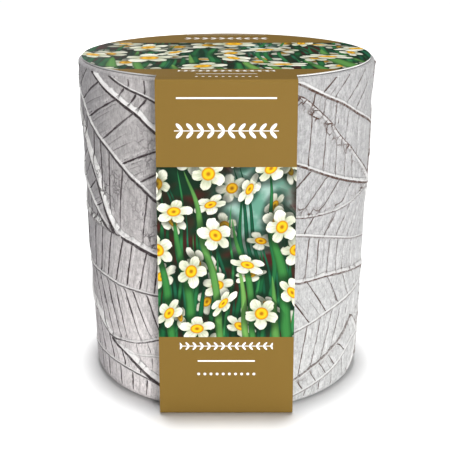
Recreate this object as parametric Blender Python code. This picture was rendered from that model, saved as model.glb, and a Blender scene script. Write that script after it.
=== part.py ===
"""A bulb planter as sold: a white cast pot with overlapping leaves in relief, filled with bulb compost
and five dormant daffodil bulbs, closed by a card sleeve that is lid, front strap, base strip and back
strap in one.

Frame: metres, +Z up, the front strap facing -Y, origin at the centre of the sleeve's underside.
"""

import math

import bpy
import numpy as np

MM = 0.001

# Driving dimensions, in millimetres
CARD = 0.6
GAP = 0.3
POT_HEIGHT = 155.0
FOOT_RADIUS = 65.9
TOP_RADIUS = 69.7
LIP_ROLL = 0.8
LIP_HEIGHT = 4.0
WALL = 8.0
FLOOR = 9.0
FOOT_ROUND = 1.6
RIM_ROUND = 1.6
BORE_CHAMFER = 4.0
LIP_CHAMFER = 1.0
BORE_SIDES = 64
FOOT_RING_WIDTH = 12.0
FOOT_RECESS = 1.5
LID_RADIUS = 68.7
STRAP_TOP_WIDTH = 59.4
STRAP_FOOT_WIDTH = 61.4
BACK_STRAP_TOP = 154.0
FOLD_RADIUS = 1.2
FOLD_POINTS = 5
LID_EDGE_POINTS = 80
COMPOST_DEPTH = 109.0
COMPOST_SWELL = 1.6
BULB_BELLY = 12.5
BULB_HEIGHT = 37.0
BULB_SUNK = 19.0
BULB_RING = 29.0
BULBS_ROUND = 4
BULB_SIDES = 18

POT_FOOT = CARD + GAP
POT_TOP = POT_FOOT + POT_HEIGHT
LID_TOP = POT_TOP + GAP + CARD
INNER_FLOOR = POT_FOOT + FLOOR
COMPOST_TOP = INNER_FLOOR + GAP + COMPOST_DEPTH

# Relief on the wall, in millimetres
ARC = 1.17  # wall per degree, at the middle radius
RELIEF_STEP = 0.9
RELIEF_MOST = 1.6
BLADE = 0.5
BEAD_HALF = 0.7  # a leaf ends this far outside the line of its raised edge
EDGE_RISE, EDGE_WIDTH = 0.95, 1.25
RIB_RISE, RIB_WIDTH = 1.0, 1.15
VEIN_DEPTH, VEIN_WIDTH = 0.55, 0.75
PILLOW_RISE, PILLOW_WIDTH = 0.3, 2.6
UNDERCUT_DEPTH, UNDERCUT_WIDTH = 0.5, 0.9
REACH = 5.0
WALL_TRIANGLES_KEPT = 0.055

COLOURS = {
    "pot": ((0.72, 0.71, 0.71), 0.62),
    "card": ((0.34, 0.20, 0.045), 0.45),
    "compost": ((0.055, 0.032, 0.018), 0.95),
    "bulb": ((0.30, 0.15, 0.06), 0.6),
}

# Leaves of one half of the wall, the lowest first; the other half repeats them. Points are (degrees
# round the pot from the front, height). Each line runs from the leaf's base to its tip.
LEAVES = [
    {
        "rib": [(94, -10), (92, 40), (90, 90), (88, 170)],
        "upper": [(94, -10), (125, 30), (125, 100), (88, 170)],
        "lower": [(94, -10), (62, 30), (60, 110), (88, 170)],
    },
    {
        "rib": [(0, -10), (2, 40), (-2, 100), (0, 170)],
        "upper": [(0, -10), (36, 40), (36, 110), (0, 170)],
        "lower": [(0, -10), (-36, 40), (-36, 110), (0, 170)],
    },
    {
        "rib": [(-103, 8), (-82, 12), (-57, 13), (-38, 12), (-29, 10), (-14, 6), (2, 2)],
        "upper": [(-103, 8), (-95, 28), (-70, 40), (-35, 30), (2, 2)],
        "lower": [(-103, 8), (-90, -4), (-50, -9), (-20, -6), (2, 2)],
    },
    {
        "rib": [(0, 160), (12, 157), (32, 149), (47, 141), (59, 134), (75, 127), (90, 121), (104, 116)],
        "upper": [(0, 160), (30, 178), (70, 172), (95, 145), (104, 116)],
        "lower": [(0, 160), (15, 138), (40, 112), (80, 98), (104, 116)],
    },
    {
        "rib": [(92, 50), (82, 47.5), (62, 45), (44, 42), (28, 37), (12, 33), (-5, 30)],
        "upper": [(92, 50), (70, 68), (30, 70), (5, 52), (-5, 30)],
        "lower": [(92, 50), (80, 34), (62, 22), (40, 10), (20, 6), (0, 12), (-5, 30)],
    },
    {
        "rib": [(10, 30), (-10, 26), (-28, 24), (-41, 22), (-55, 26)],
        "upper": [(10, 30), (0, 42), (-20, 44), (-40, 34), (-55, 26)],
        "lower": [(10, 30), (0, 8), (-15, 6.5), (-29, 12), (-42, 20), (-48, 23), (-55, 26)],
    },
    {
        "rib": [(-97, 52), (-90, 54), (-76, 55.5), (-58, 56), (-38, 55), (-10, 56), (8, 58)],
        "upper": [(-97, 52), (-84, 80), (-60, 92), (-30, 88), (-5, 74), (8, 58)],
        "lower": [(-97, 52), (-82, 36.5), (-69, 33), (-61, 28.5), (-55, 26), (-46, 27), (-37, 29),
                  (-28, 33), (-12, 41), (8, 58)],
    },
    {
        "rib": [(77, 18), (69, 18.5), (62, 16.5), (54, 12), (46, 9), (29, 4), (15, 1), (0, -3)],
        "upper": [(77, 18), (73, 23), (69, 27.5), (65, 31.5), (62, 30), (55, 24.5), (42, 18), (29, 12),
                  (15, 7), (0, -3)],
        "lower": [(77, 18), (70, 6), (50, -5), (20, -9), (0, -3)],
    },
    {
        "rib": [(-98, 110), (-82, 101), (-69, 95), (-61, 89), (-54, 82), (-44, 72)],
        "upper": [(-98, 110), (-90, 132), (-70, 130), (-50, 102), (-44, 72)],
        "lower": [(-98, 110), (-94, 92), (-82, 83), (-63, 82), (-48, 79), (-44, 72)],
    },
    {
        "rib": [(2, 88), (14, 86), (35, 82), (48, 78), (60, 74), (75, 70), (86, 66), (95, 62)],
        "upper": [(2, 88), (30, 106), (70, 100), (90, 82), (95, 62)],
        "lower": [(2, 88), (12, 69), (27, 61.5), (42, 61), (54, 59), (68, 56), (82, 52), (90, 53),
                  (95, 62)],
    },
    {
        "rib": [(-99, 156), (-88, 148), (-79, 142.5), (-70, 137), (-57, 125.5), (-43, 115), (-26, 101),
                (-10, 92), (6, 86)],
        "upper": [(-99, 156), (-80, 172), (-50, 170), (-15, 140), (6, 86)],
        "lower": [(-99, 156), (-91, 136), (-82, 128), (-71, 121), (-63, 112), (-57, 104), (-50, 88),
                  (-46, 81.5), (-38, 79), (-27, 75.5), (-12, 74), (6, 86)],
    },
    {
        "rib": [(86, 94.5), (75, 97), (54, 104), (42, 109), (26, 117), (12, 122), (-8, 124)],
        "upper": [(86, 94.5), (75, 102), (62, 111.5), (46, 126.5), (35, 139), (25, 147), (12, 150),
                  (-2, 142), (-8, 124)],
        "lower": [(86, 94.5), (74, 95.5), (65, 94.5), (47, 92), (33, 92), (26, 93), (10, 97), (-4, 110),
                  (-8, 124)],
    },
    {
        "rib": [(12, 132), (-10, 138), (-26, 145), (-37, 149), (-50, 156), (-58, 164)],
        "upper": [(12, 132), (0, 160), (-30, 172), (-62, 176), (-58, 164)],
        "lower": [(12, 132), (-10, 127), (-26, 135), (-39, 144), (-54, 153), (-58, 158), (-58, 164)],
    },
]


def clear_scene():
    for obj in list(bpy.data.objects):
        bpy.data.objects.remove(obj)


def material(name):
    """One Principled material for each colour of the object."""
    if name in bpy.data.materials:
        return bpy.data.materials[name]
    colour, roughness = COLOURS[name]
    made = bpy.data.materials.new(name)
    made.use_nodes = True
    shader = made.node_tree.nodes["Principled BSDF"]
    shader.inputs["Base Color"].default_value = (*colour, 1.0)
    shader.inputs["Roughness"].default_value = roughness
    shader.inputs["Metallic"].default_value = 0.0
    return made


def new_object(name, vertices, faces, colour):
    """A smooth-shaded mesh object, from vertices in millimetres."""
    mesh = bpy.data.meshes.new(name)
    mesh.from_pydata([tuple(MM * c for c in v) for v in vertices], [], faces)
    mesh.update()
    mesh.shade_smooth()
    mesh.set_sharp_from_angle(angle=math.radians(35))
    mesh.materials.append(material(colour))
    obj = bpy.data.objects.new(name, mesh)
    bpy.context.scene.collection.objects.link(obj)
    return obj


def turned(rings):
    """Vertices and faces of a closed round body: rings from the centre of its underside, out, up and back
    in. Each ring is a list of points, and the first and last are the two centre points."""
    vertices = [rings[0]]
    starts = []
    for ring in rings[1:-1]:
        starts.append(len(vertices))
        vertices.extend(ring)
    vertices.append(rings[-1])
    count = len(rings[1])
    last = len(vertices) - 1
    faces = []
    for i in range(count):
        j = (i + 1) % count
        faces.append((0, starts[0] + j, starts[0] + i))
        faces.append((last, starts[-1] + i, starts[-1] + j))
        for low, high in zip(starts, starts[1:]):
            faces.append((low + i, low + j, high + j, high + i))
    return vertices, faces


def circle(radius, height, angles):
    """A level ring; radius may be one value or one for each angle. Angle 0 faces -Y."""
    return list(zip(radius * np.sin(angles), -radius * np.cos(angles), height + 0 * angles))


def arc(centre, radius, start, stop, steps):
    """(radius, height) points of a round in a profile, from one angle to another, 0 outwards and 90 up."""
    turns = np.radians(np.linspace(start, stop, steps))
    return [(centre[0] + radius * math.cos(t), centre[1] + radius * math.sin(t)) for t in turns]


# Leaf relief


def smooth_line(points, turn, per_span=8):
    """A smooth curve through (degrees, height) points, on the unrolled wall in millimetres."""
    p = np.array([((angle + turn) * ARC, height) for angle, height in points], float)
    p = np.vstack([2 * p[0] - p[1], p, 2 * p[-1] - p[-2]])
    t = np.arange(per_span)[:, None] / per_span
    spans = [
        0.5 * (2 * b + (c - a) * t + (2 * a - 5 * b + 4 * c - d) * t**2 + (3 * b - a - 3 * c + d) * t**3)
        for a, b, c, d in zip(p, p[1:], p[2:], p[3:])
    ]
    return np.vstack([*spans, p[-2:-1]])


def inside(s, z, ring):
    """Which points lie inside a closed outline."""
    hit = np.zeros(s.shape, bool)
    for (s0, z0), (s1, z1) in zip(ring, np.roll(ring, -1, axis=0)):
        if z0 != z1:
            crosses = (z > min(z0, z1)) & (z <= max(z0, z1))
            hit ^= crosses & (s < s0 + (z - z0) * (s1 - s0) / (z1 - z0))
    return hit


class Patch:
    """The part of the wall's grid round one leaf, which may run across the back seam."""

    def __init__(self, wall, low, high):
        per_row = (wall.rows - 1) / POT_HEIGHT
        per_column = wall.columns / (360 * ARC)
        first = math.floor((low[0] - REACH + 180 * ARC) * per_column)
        last = math.ceil((high[0] + REACH + 180 * ARC) * per_column)
        bottom = max(0, math.floor((low[1] - REACH) * per_row))
        top = min(wall.rows, math.ceil((high[1] + REACH) * per_row))
        columns, rows = np.arange(first, last), np.arange(bottom, top)
        self.where = np.ix_(rows, columns % wall.columns)
        self.axis_s = columns / per_column - 180 * ARC
        self.axis_z = rows / per_row
        self.s, self.z = np.meshgrid(self.axis_s, self.axis_z)

    def window(self, low, high):
        columns = np.searchsorted(self.axis_s, (low[0], high[0]))
        rows = np.searchsorted(self.axis_z, (low[1], high[1]))
        return slice(*rows), slice(*columns)

    def cell(self, point):
        column = min(len(self.axis_s) - 1, int(np.searchsorted(self.axis_s, point[0])))
        row = min(len(self.axis_z) - 1, int(np.searchsorted(self.axis_z, point[1])))
        return row, column

    def near(self, line, reach=REACH):
        """Distance from each cell to a line, up to reach, and the length along the line to there."""
        gap, along = np.full(self.s.shape, reach), np.zeros(self.s.shape)
        run = 0.0
        for a, b in zip(line, line[1:]):
            length = math.hypot(*(b - a))
            if length == 0:
                continue
            part = self.window(np.minimum(a, b) - reach, np.maximum(a, b) + reach)
            s, z = self.s[part], self.z[part]
            share = np.clip(((s - a[0]) * (b - a)[0] + (z - a[1]) * (b - a)[1]) / length**2, 0, 1)
            found = np.hypot(s - a[0] - share * (b - a)[0], z - a[1] - share * (b - a)[1])
            closer = found < gap[part]
            along[part] = np.where(closer, run + share * length, along[part])
            gap[part] = np.where(closer, found, gap[part])
            run += length
        return gap, along


def bump(distance, width):
    return np.exp(-((distance / width) ** 2))


def side_vein(patch, within, edge_gap, start, heading, bend):
    """One vein, walked from the rib until it nears the leaf's margin."""
    stride, margin = 2.0, 2.8
    points = [start]
    while len(points) < 30:
        row, column = patch.cell(points[-1])
        if not within[row, column] or edge_gap[row, column] < margin:
            break
        points.append(points[-1] + stride * np.array([math.cos(heading), math.sin(heading)]))
        heading += bend
    return np.array(points)


def side_veins(patch, rib, within, edge_gap, rng):
    """The veins on both sides of a rib, leaning towards the leaf's tip."""
    spacing, lean, bend, clear_of_rib = 10.0, 66.0, 1.5, 1.8
    run = np.concatenate([[0], np.cumsum(np.hypot(*np.diff(rib, axis=0).T))])
    for side in (1, -1):
        at = rng.uniform(5, 9)
        while at < run[-1] - 6:
            foot, ahead = (
                np.array([np.interp(at + step, run, rib[:, k]) for k in (0, 1)]) for step in (0, 1)
            )
            heading = math.atan2(*(ahead - foot)[::-1]) + side * math.radians(lean + rng.uniform(-6, 6))
            start = foot + clear_of_rib * np.array([math.cos(heading), math.sin(heading)])
            yield side_vein(patch, within, edge_gap, start, heading, -side * math.radians(bend))
            at += spacing * rng.uniform(0.85, 1.15)


class Wall:
    """The pot's outer wall as a grid of relief heights: rows up the wall, columns round it."""

    def __init__(self, step):
        self.columns = 2 * round(180 * ARC / step)
        self.rows = round(POT_HEIGHT / step) + 1
        self.heights = np.zeros((self.rows, self.columns))
        for number, leaf in enumerate(LEAVES):
            for turn in (0, 180):
                self.stamp(leaf, turn, np.random.default_rng(number))

    def stamp(self, leaf, turn, rng):
        """Lays one leaf over what is there, with a raised edge, a rib and side veins."""
        rib = smooth_line(leaf["rib"], turn)
        upper, lower = (smooth_line(leaf[side], turn) for side in ("upper", "lower"))
        outline = np.vstack([upper, lower[-2:0:-1]])
        patch = Patch(self, outline.min(axis=0), outline.max(axis=0))
        within = inside(patch.s, patch.z, outline)
        edge_gap, _ = patch.near(np.vstack([outline, outline[:1]]))
        outside = np.where(within, -edge_gap, edge_gap) - BEAD_HALF
        rib_gap, rib_run = patch.near(rib)
        taper = np.clip(1.15 - rib_run / max(rib_run.max(), 1), 0.25, 1)
        vein_gap = np.full(patch.s.shape, REACH)
        for vein in side_veins(patch, rib, within, edge_gap, rng):
            vein_gap = np.minimum(vein_gap, patch.near(vein)[0])
        leaf_height = (
            BLADE
            + EDGE_RISE * bump(edge_gap, EDGE_WIDTH)
            + RIB_RISE * taper * bump(rib_gap, RIB_WIDTH)
            + PILLOW_RISE * (1 - bump(vein_gap, PILLOW_WIDTH))
            - VEIN_DEPTH * bump(vein_gap, VEIN_WIDTH)
        )
        below = self.heights[patch.where] - UNDERCUT_DEPTH * bump(outside, UNDERCUT_WIDTH)
        self.heights[patch.where] = np.where(outside < 0, leaf_height, below)


def wall_radius(height):
    """Radius of the outer wall under its relief, at a height above the foot."""
    return FOOT_RADIUS + (TOP_RADIUS - FOOT_RADIUS) * height / POT_HEIGHT


def outer_radius(height, relief):
    """Radius of the wall with its relief, which dies away into the rounded foot and the rolled lip."""
    foot_share = np.clip(height / 4.0, 0, 1)
    rim_share = np.clip((POT_HEIGHT - 1.2 - height) / 2.0, 0, 1)
    lip_share = np.clip((height - POT_HEIGHT + LIP_HEIGHT) / LIP_ROLL / 2, 0, 1)
    return wall_radius(height) + np.maximum(foot_share * rim_share * relief, LIP_ROLL * lip_share)


def make_pot():
    """The cast pot: a turned body with the leaves raised on its wall, then bored out."""
    wall = Wall(RELIEF_STEP)
    angles = np.radians(np.linspace(-180, 180, wall.columns, endpoint=False))
    relief = RELIEF_MOST * np.tanh(wall.heights / RELIEF_MOST)
    rings = [(0, 0, POT_FOOT)]
    for radius, height in arc((FOOT_RADIUS - FOOT_ROUND, FOOT_ROUND), FOOT_ROUND, -90, -15, 4):
        rings.append(circle(radius, POT_FOOT + height, angles))
    for height, row in zip(np.linspace(0, POT_HEIGHT, wall.rows), relief):
        if FOOT_ROUND <= height <= POT_HEIGHT - RIM_ROUND:
            rings.append(circle(outer_radius(height, row), POT_FOOT + height, angles))
    rim = TOP_RADIUS + LIP_ROLL - RIM_ROUND
    for radius, height in arc((rim, POT_HEIGHT - RIM_ROUND), RIM_ROUND, 20, 90, 4):
        rings.append(circle(radius, POT_FOOT + height, angles))
    rings.append((0, 0, POT_TOP))
    pot = new_object("planter", *turned(rings), "pot")
    thin = pot.modifiers.new("fewer_faces", "DECIMATE")
    thin.ratio = WALL_TRIANGLES_KEPT
    cut_out(pot, pot_bore())
    cut_out(pot, foot_recess())


def foot_recess():
    """The cutter for the hollow under the pot, which leaves a foot ring."""
    angles = np.radians(np.linspace(-180, 180, BORE_SIDES, endpoint=False))
    radius = FOOT_RADIUS - FOOT_RING_WIDTH
    low, high = POT_FOOT - FOOT_RECESS, POT_FOOT + FOOT_RECESS
    rings = [circle(radius, low, angles), circle(radius - FOOT_RECESS, high, angles)]
    return new_object("foot_recess", *turned([(0, 0, low), *rings, (0, 0, high)]), "pot")


def pot_bore():
    """The cutter for the pot's inside, wider at the lip and past it."""
    angles = np.radians(np.linspace(-180, 180, BORE_SIDES, endpoint=False))
    floor = bore_radius(FLOOR)
    profile = (
        (floor - BORE_CHAMFER, FLOOR),
        (bore_radius(FLOOR + BORE_CHAMFER), FLOOR + BORE_CHAMFER),
        (bore_radius(POT_HEIGHT - LIP_CHAMFER), POT_HEIGHT - LIP_CHAMFER),
        (bore_radius(POT_HEIGHT) + 3 * LIP_CHAMFER, POT_HEIGHT + 2 * LIP_CHAMFER),
    )
    rings = [circle(radius, POT_FOOT + height, angles) for radius, height in profile]
    centres = (0, 0, INNER_FLOOR), (0, 0, POT_TOP + 2 * LIP_CHAMFER)
    return new_object("pot_bore", *turned([centres[0], *rings, centres[1]]), "pot")


def cut_out(body, cutter):
    """Takes the cutter's shape out of a body."""
    cutter.hide_render = True
    cutter.display_type = "WIRE"
    cut = body.modifiers.new(cutter.name, "BOOLEAN")
    cut.operation = "DIFFERENCE"
    cut.object = cutter


def bore_radius(height):
    """Radius of the pot's inside at a height above its foot."""
    return wall_radius(height) - WALL


# Compost and bulbs


def bulb_places():
    """(x, y, lean direction in radians) of each bulb: one in the middle and the others in a ring."""
    places = [(0.0, 0.0, 0.6)]
    for i in range(BULBS_ROUND):
        turn = math.radians(360 * i / BULBS_ROUND + 28)
        places.append((BULB_RING * math.cos(turn), BULB_RING * math.sin(turn), turn))
    return places


def bulb_profile(grown=0.0):
    """(radius, height above the base plate) of a bulb; grown makes it fatter all over, as for its hole."""
    shape = [(0.34, 0.0), (0.62, 0.05), (0.90, 0.17), (1.0, 0.33), (0.93, 0.48), (0.70, 0.61),
             (0.42, 0.71), (0.26, 0.79), (0.18, 0.88)]
    return [(BULB_BELLY * r + grown, BULB_HEIGHT * h - grown * (1 - 2 * h)) for r, h in shape]


def bulb_body(name, place, grown, rng):
    """A bulb standing in the compost, a little flattened and leaning, with its dry neck up."""
    x, y, lean_way = place
    angles = np.radians(np.linspace(0, 360, BULB_SIDES, endpoint=False))
    flat = 1 + 0.06 * np.cos(2 * (angles - lean_way)) + 0.02 * np.cos(3 * angles)
    profile = bulb_profile(grown)
    base = COMPOST_TOP - BULB_SUNK
    rings = [(0, 0, profile[0][1] + 0.8)]
    for radius, height in profile:
        rings.append(circle(radius * flat, height, angles))
    rings.append((0, 0, BULB_HEIGHT + grown))
    lean = math.radians(rng.uniform(3, 8))
    obj = new_object(name, *turned(rings), "bulb")
    obj.location = (x * MM, y * MM, base * MM)
    obj.rotation_euler = (lean * math.sin(lean_way), -lean * math.cos(lean_way), 0)
    return obj


def make_bulbs():
    for number, place in enumerate(bulb_places(), start=1):
        bulb_body(f"bulb_{number}", place, 0.0, np.random.default_rng(number))


def make_compost():
    """The filling, with a plain socket for each bulb and an uneven top."""
    angles = np.radians(np.linspace(-180, 180, BORE_SIDES, endpoint=False))
    bottom = FLOOR + GAP
    top = COMPOST_TOP - POT_FOOT
    rings = [(0, 0, POT_FOOT + bottom)]
    for radius, height in (
        (bore_radius(bottom) - BORE_CHAMFER - 2 * GAP, bottom),
        (bore_radius(bottom + BORE_CHAMFER) - GAP, bottom + BORE_CHAMFER + GAP),
        (bore_radius(top - COMPOST_SWELL) - GAP, top - 2 * COMPOST_SWELL),
    ):
        rings.append(circle(radius, POT_FOOT + height, angles))
    for share in (0.97, 0.8, 0.6, 0.4, 0.2):
        waves = np.sin(3 * angles + 9 * share) + 0.8 * np.sin(7 * angles - 5 * share)
        level = COMPOST_TOP + 0.5 * COMPOST_SWELL * waves
        rings.append(circle(share * (bore_radius(top) - GAP), level, angles))
    rings.append((0, 0, COMPOST_TOP))
    compost = new_object("compost", *turned(rings), "compost")
    for number, place in enumerate(bulb_places(), start=1):
        cut_out(compost, bulb_body(f"socket_{number}", place, GAP, np.random.default_rng(number)))


# Card sleeve


def folded(corners, radii, steps):
    """The (y, z) path from one end through some corners to the other, with a round at each corner."""
    points = []
    for before, corner, after, radius in zip(corners, corners[1:], corners[2:], radii):
        into = (corner - before) / math.dist(corner, before)
        away = (after - corner) / math.dist(after, corner)
        turn = math.acos(into @ away)
        side = (away - into * math.cos(turn)) / math.sin(turn)
        centre = corner - into * radius * math.tan(turn / 2) + side * radius
        for angle in np.linspace(0, turn, steps):
            points.append(centre + radius * (into * math.sin(angle) - side * math.cos(angle)))
    return points + [corners[-1]]


def strap_half(height):
    """Half the width of the straps, which widen a little towards the foot."""
    return 0.5 * (STRAP_FOOT_WIDTH + (STRAP_TOP_WIDTH - STRAP_FOOT_WIDTH) * height / LID_TOP)


def make_sleeve():
    """One card: the lid disc, folded down at the front into a strap that goes under the pot and up its
    back, where its end stays free under the lid's edge."""
    clearance = RELIEF_MOST + GAP + CARD
    high = wall_radius(POT_HEIGHT) + clearance
    low = wall_radius(0) + clearance
    end = low + (high - low) * BACK_STRAP_TOP / LID_TOP
    corners = [(0, LID_TOP), (-high, LID_TOP), (-low, 0), (low, 0), (end, BACK_STRAP_TOP)]
    foot_fold = FOOT_ROUND + GAP + CARD
    path = folded(np.array(corners, float), (FOLD_RADIUS, foot_fold, foot_fold), FOLD_POINTS)
    vertices = [(side * strap_half(z), y, z) for y, z in path for side in (-1, 1)]
    faces = [(2 * i, 2 * i + 2, 2 * i + 3, 2 * i + 1) for i in range(len(path) - 1)]
    shoulder = math.asin(strap_half(LID_TOP) / LID_RADIUS)
    edge = circle(LID_RADIUS, LID_TOP, np.linspace(shoulder, math.tau - shoulder, LID_EDGE_POINTS))
    faces.append((0, 1, *range(len(vertices), len(vertices) + len(edge))))
    vertices.extend(edge)
    sleeve = new_object("card_sleeve", vertices, faces, "card")
    thick = sleeve.modifiers.new("card", "SOLIDIFY")
    thick.thickness = CARD * MM
    thick.offset = -1
    thick.use_even_offset = True


def main():
    clear_scene()
    make_pot()
    make_compost()
    make_bulbs()
    make_sleeve()


main()
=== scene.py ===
"""The bulb planter of the photograph, dressed: a limewashed cast pot with leaves in relief, its compost and
bulbs, and the printed card sleeve that closes it, on a white studio floor."""

import math

import bpy
import numpy as np
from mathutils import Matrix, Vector


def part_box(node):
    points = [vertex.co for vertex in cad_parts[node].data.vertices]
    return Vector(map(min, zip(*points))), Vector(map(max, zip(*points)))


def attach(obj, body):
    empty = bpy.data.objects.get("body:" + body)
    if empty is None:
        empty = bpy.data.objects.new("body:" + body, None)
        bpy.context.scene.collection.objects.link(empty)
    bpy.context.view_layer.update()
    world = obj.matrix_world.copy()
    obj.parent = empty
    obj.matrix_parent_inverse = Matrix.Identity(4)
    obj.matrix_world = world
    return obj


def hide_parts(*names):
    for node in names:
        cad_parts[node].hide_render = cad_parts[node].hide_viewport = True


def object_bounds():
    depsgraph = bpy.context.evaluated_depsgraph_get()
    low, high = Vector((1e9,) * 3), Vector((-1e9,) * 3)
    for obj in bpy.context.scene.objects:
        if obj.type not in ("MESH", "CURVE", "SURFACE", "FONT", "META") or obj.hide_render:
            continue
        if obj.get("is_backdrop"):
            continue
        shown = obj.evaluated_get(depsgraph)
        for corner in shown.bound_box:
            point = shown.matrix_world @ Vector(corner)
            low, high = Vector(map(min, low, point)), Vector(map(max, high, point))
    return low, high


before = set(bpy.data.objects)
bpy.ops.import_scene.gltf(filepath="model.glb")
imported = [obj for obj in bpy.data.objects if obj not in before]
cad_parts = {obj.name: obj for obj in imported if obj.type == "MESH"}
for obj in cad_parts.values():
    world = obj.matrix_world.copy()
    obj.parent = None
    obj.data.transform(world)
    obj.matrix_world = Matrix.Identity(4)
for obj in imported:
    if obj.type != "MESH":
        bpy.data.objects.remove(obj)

CAD_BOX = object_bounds()
MM = 0.001
BODY = "root"

# Sizes in millimetres. Those of the pot and the sleeve come from the frame.
POT_LOW, POT_HIGH = (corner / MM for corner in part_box("planter"))
SLEEVE_LOW, SLEEVE_HIGH = (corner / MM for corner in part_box("card_sleeve"))
POT_HEIGHT = POT_HIGH.z - POT_LOW.z
FOOT_RADIUS = 65.9
TOP_RADIUS = 69.7
LIP_ROLL = 0.8
LIP_HEIGHT = 1.8
WALL = 8.0
FLOOR = 9.0
FOOT_ROUND = 0.8
RIM_ROUND = 1.6
FOOT_RING_WIDTH = 12.0
FOOT_RECESS = 1.5
LIP_CHAMFER, FLOOR_CHAMFER = 1.0, 4.0
CARD = 0.6
LID_TOP = SLEEVE_HIGH.z
LID_RADIUS = SLEEVE_HIGH.x
STRAP_TOP_WIDTH = 59.4
STRAP_FOOT_WIDTH = 61.4
BACK_STRAP_TOP = 154.0
FOLD_RADII = (1.2, 2.2, 2.2)  # at the lid, and at the foot's front and back
FOLD_POINTS = 9
LID_EDGE_POINTS = 200

# The print on the card: each panel has a picture with plain gold above and below
PICTURE_HEIGHT = 79.7
STRAP_PICTURE_FOOT = 39.5
LID_PICTURE_FRONT = -46.3
LID_PRINT_CUT = 0.33  # the share of the strap's pattern that the larger flowers of the lid leave out
PANEL_PITCH = 400.0
HAZE_PLACE, HAZE_SIZE = (12.0, 62.0), (20.0, 24.0)  # the pale ground behind the flowers

# Relief on the wall, in millimetres
ARC = 1.17  # wall per degree, at the middle radius
GRID_SPAN, GRID_START = 180 * ARC, -90 * ARC
RELIEF_STEP = 0.42
RELIEF_MOST = 1.9
RELIEF_TOP = 0.8  # the relief ends this far below the top
REACH = 8.0
VEIN_REACH = 5.0
BLADE = 0.5
LEAF_END = 0.7  # a leaf ends this far outside its margin line
EDGE_RISE = 1.0
RIB_RISE, RIB_WIDTH = 0.6, 1.35
VEIN_DEPTH, VEIN_WIDTH = 0.45, 0.42
PILLOW_RISE, PILLOW_WIDTH = 0.35, 2.4
UNDERCUT_DEPTH, UNDERCUT_WIDTH = 0.4, 0.8
VEIN_SPACING = 7.0
VEIN_LEAN = 66.0
VEIN_STRIDE = 1.5
VEIN_MARGIN = 2.2
VEIN_ROOM = 4.7  # a vein this near the margin turns towards the leaf's tip
VEIN_HOOK = 45.0  # and by this much at most
VEIN_APART = 2.3  # a faint vein ends this near another
VEIN_START = 1.7  # a vein starts this far from the middle of its rib
HOOK_TURN = 9.0  # degrees that a vein turns at each stride where it hooks
VEIN_POWERS, FAINT_POWERS = (0.7, 1.0), (0.08, 0.28)
VEIN_LONGEST, FAINT_LENGTHS = 60, (6, 26)
TWIG_LENGTH, TWIG_TURN, TWIG_POWER, TWIG_ROOM = 5, 0.7, 0.4, 1.4  # the fork at a strong vein's end
AWAY = (REACH, REACH, 0.0)  # signed distance, distance and strength where there is no line
BEAD_MOST = 1.2  # a raised edge gets wider above this strength, and no higher
HIDDEN = 21.0  # degrees each side of the front and the back that the straps cover
POT_TRIANGLES = 195000

# The photograph's camera, in millimetres and degrees
CAMERA_TARGET = (-0.6, 0.0, 69.9)
CAMERA_DISTANCE = 519.6
CAMERA_ELEVATION = 18.19
CAMERA_LENS = 82.2
SENSOR = 36.0
LIGHT_AIM = Vector((0, 0, 0.07))  # in metres
FLOOR_HALF = 4000.0

# The limewash, and the light and shade painted into it, change between these places, in millimetres
LEFT_TO_RIGHT = (-40.0, 30.0)
SIDE_TO_STRAP = (-68.0, -42.0)
TOP_TO_FOOT = (125.0, -5.0)
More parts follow.
